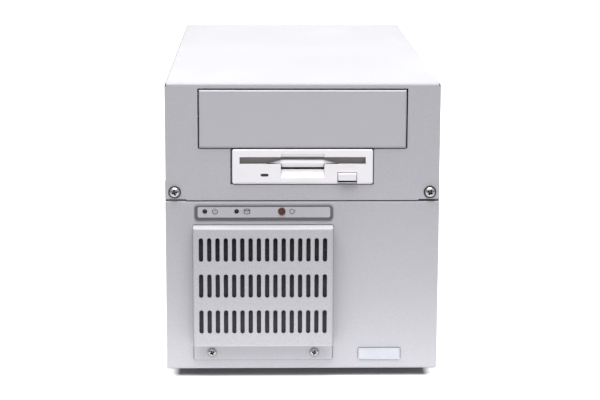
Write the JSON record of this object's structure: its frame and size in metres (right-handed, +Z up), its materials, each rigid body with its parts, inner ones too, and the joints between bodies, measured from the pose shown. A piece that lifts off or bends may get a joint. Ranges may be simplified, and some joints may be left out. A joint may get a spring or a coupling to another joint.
{
  "type": "industrial computer",
  "caption": "Compact steel industrial computer with two front drive bays, a filtered front fan, indicators, plug-in cards on a backplane and a rear power supply.",
  "frame": {"origin": "middle of the outline on the surface the feet stand on", "axes": "+Z up, front faces -Y, +X to the right when facing the front"},
  "size_m": [0.1972, 0.4144, 0.2162],
  "materials": {
    "case_paint": "fine powder coat, satin",
    "filler_plastic": "fine moulded texture",
    "bezel_plastic": "smooth moulded off-white",
    "button_plastic": "smooth moulded off-white",
    "zinc_steel": "zinc-plated sheet",
    "nickel_screws": "nickel-plated",
    "bracket_nickel": "nickel-plated sheet",
    "guard_wire": "bright plated wire",
    "foot_rubber": "matt",
    "clamp_rubber": "matt",
    "filter_foam": "open-cell foam",
    "fan_plastic": "moulded",
    "label_film": "printed film",
    "plate_metal": "fine brushed",
    "lamp_lens": "tinted lens",
    "floppy_lamp_lens": "tinted lens",
    "reset_plastic": "moulded",
    "board_green": "solder mask",
    "board_brown": "phenolic board",
    "connector_black": "moulded",
    "switch_black": "moulded",
    "guide_nylon": "natural nylon",
    "disk_casting": "die-cast",
    "heatsink_metal": "black anodised",
    "ribbon_pvc": "flat cable",
    "harness_pvc": "wire bundle",
    "lead_pvc": "wire bundle",
    "standoff_brass": "turned",
    "speaker_black": "paper cone in a frame"
  },
  "bodies": {
    "case": {"chassis_tub": "case_paint", "top_cover": "case_paint", "cover_screws": "nickel_screws", "rubber_feet": "foot_rubber", "feet_screws": "nickel_screws", "filter_cover": "case_paint", "filter_cover_screws": "nickel_screws", "dust_filter": "filter_foam", "front_fan_frame": "fan_plastic", "front_fan_guard": "guard_wire", "front_fan_screws": "nickel_screws", "indicator_plate": "label_film", "indicator_lamps": "lamp_lens", "indicator_board": "board_green", "indicator_lead": "lead_pvc", "reset_switch": "connector_black", "name_plate": "plate_metal", "speaker": "speaker_black", "bay_filler": "filler_plastic", "drive_cage": "zinc_steel", "cage_screws": "nickel_screws", "drive_screws": "nickel_screws", "floppy_chassis": "zinc_steel", "floppy_lid": "zinc_steel", "floppy_bezel": "bezel_plastic", "floppy_lamp": "floppy_lamp_lens", "hard_disk": "disk_casting", "disk_brackets": "zinc_steel", "floppy_ribbon": "ribbon_pvc", "disk_ribbon": "ribbon_pvc", "backplane": "board_green", "backplane_standoffs": "standoff_brass", "backplane_screws": "nickel_screws", "slot_connectors": "connector_black", "cpu_card": "board_green", "cpu_card_bracket": "bracket_nickel", "cpu_heatsink": "heatsink_metal", "memory_module": "board_green", "io_card": "board_green", "io_card_bracket": "bracket_nickel", "blank_brackets": "bracket_nickel", "bracket_screws": "nickel_screws", "card_guide": "guide_nylon", "hold_down_bar": "zinc_steel", "card_clamps": "clamp_rubber", "psu_case": "zinc_steel", "psu_board": "board_brown", "psu_fan_frame": "fan_plastic", "psu_fan_guard": "guard_wire", "psu_screws": "nickel_screws", "ac_inlet": "switch_black", "ac_inlet_pins": "nickel_screws", "switch_housing": "switch_black", "power_harness": "harness_pvc"},
    "front_fan": {"front_fan_rotor": "fan_plastic"},
    "psu_fan": {"psu_fan_rotor": "fan_plastic"},
    "flap": {"floppy_flap": "bezel_plastic"},
    "eject": {"eject_button": "button_plastic"},
    "reset": {"reset_button": "reset_plastic"},
    "rocker": {"power_rocker": "switch_black"}
  },
  "joints": [
    {"name": "front_fan_spin", "type": "hinge", "parent": "case", "child": "front_fan", "pos_m": [-0.02835, -0.18317, 0.0689], "axis": [0, 1, 0], "continuous": true},
    {"name": "psu_fan_spin", "type": "hinge", "parent": "case", "child": "psu_fan", "pos_m": [-0.035, 0.19153, 0.1785], "axis": [0, 1, 0], "continuous": true},
    {"name": "flap_hinge", "type": "hinge", "parent": "case", "child": "flap", "pos_m": [0, -0.19177, 0.16395], "axis": [1, 0, 0], "range_deg": [0, 100], "stiffness_Nm_per_rad": 0.002, "springref_deg": -22.92},
    {"name": "eject_slide", "type": "slide", "parent": "case", "child": "eject", "axis": [0, 1, 0], "range_m": [0, 0.003], "stiffness_N_per_m": 120, "springref_m": -0.003},
    {"name": "reset_slide", "type": "slide", "parent": "case", "child": "reset", "axis": [0, 1, 0], "range_m": [0, 0.0012], "stiffness_N_per_m": 300, "springref_m": -0.001},
    {"name": "rocker_hinge", "type": "hinge", "parent": "case", "child": "rocker", "pos_m": [0.052, 0.20153, 0.1785], "axis": [1, 0, 0], "range_deg": [0, 20]}
  ]
}
